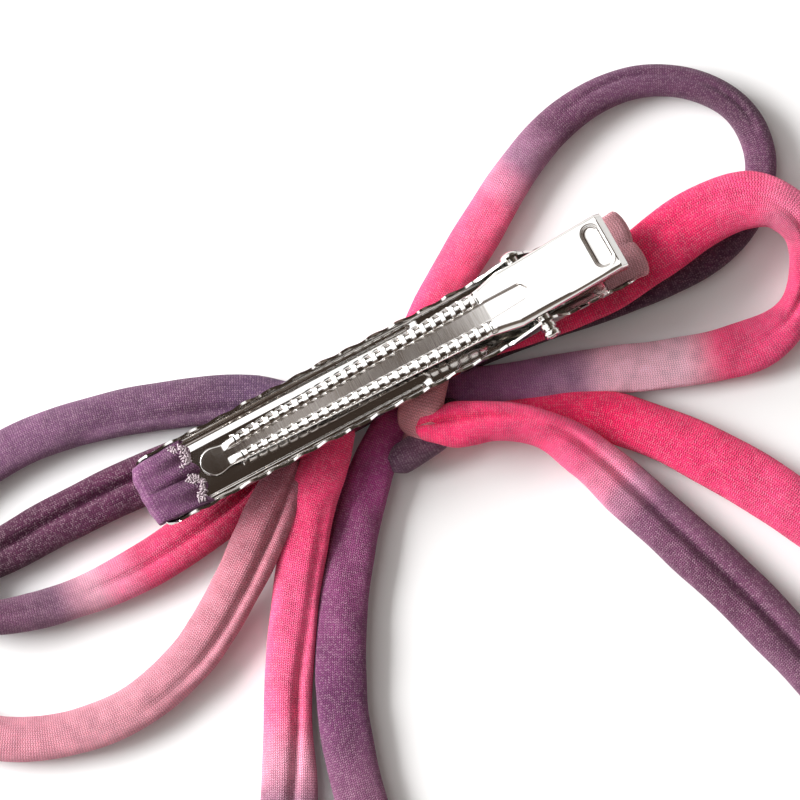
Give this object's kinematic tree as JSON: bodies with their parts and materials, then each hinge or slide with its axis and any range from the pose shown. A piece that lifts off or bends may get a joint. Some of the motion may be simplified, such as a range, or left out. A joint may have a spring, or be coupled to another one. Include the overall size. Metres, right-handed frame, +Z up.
{
  "type": "alligator hair clip",
  "caption": "Sprung toothed single-prong hair clip in nickel-plated pressed steel, with a fabric lining, tied to a bow of tie-dyed knit tubes.",
  "frame": {"origin": "on the surface the bow lies on, under the middle of the base plate, in the flat underside of the gathered strands", "axes": "+X along the clip from its tip to its handle, +Y across it away from the knot and tails, +Z up from the bow to the clip"},
  "size_m": [0.1512, 0.1242, 0.0188],
  "materials": {
    "nickel_steel": "bright nickel plate on pressed steel",
    "pin_steel": "bright nickel plate",
    "spring_steel": "rolled strip, unplated",
    "lining_knit": "tie-dyed cotton knit with a raw cut edge",
    "hot_glue": "set hot-melt glue",
    "bow_knit": "tie-dyed cotton knit tube, pink to purple"
  },
  "bodies": {
    "base": {"base_plate": "nickel_steel", "pivot_pin": "pin_steel", "spring": "spring_steel", "lining_strip": "lining_knit", "glue_pad": "hot_glue", "bow_core": "bow_knit", "bow_knot": "bow_knit", "loop_upper_right": "bow_knit", "loop_lower_right": "bow_knit", "loop_upper_left": "bow_knit", "loop_lower_left": "bow_knit", "tail_lower_left": "bow_knit", "tail_lower_middle": "bow_knit", "tail_right": "bow_knit", "tail_upper_right": "bow_knit"},
    "lever": {"lever": "nickel_steel"}
  },
  "joints": [
    {"name": "lever_pivot", "type": "hinge", "parent": "base", "child": "lever", "pos_m": [0.0224, 0, 0.0133], "axis": [0, 1, 0], "range_deg": [0, 20], "stiffness_Nm_per_rad": 0.12, "springref_deg": -14.32, "deforming": ["spring"]}
  ]
}
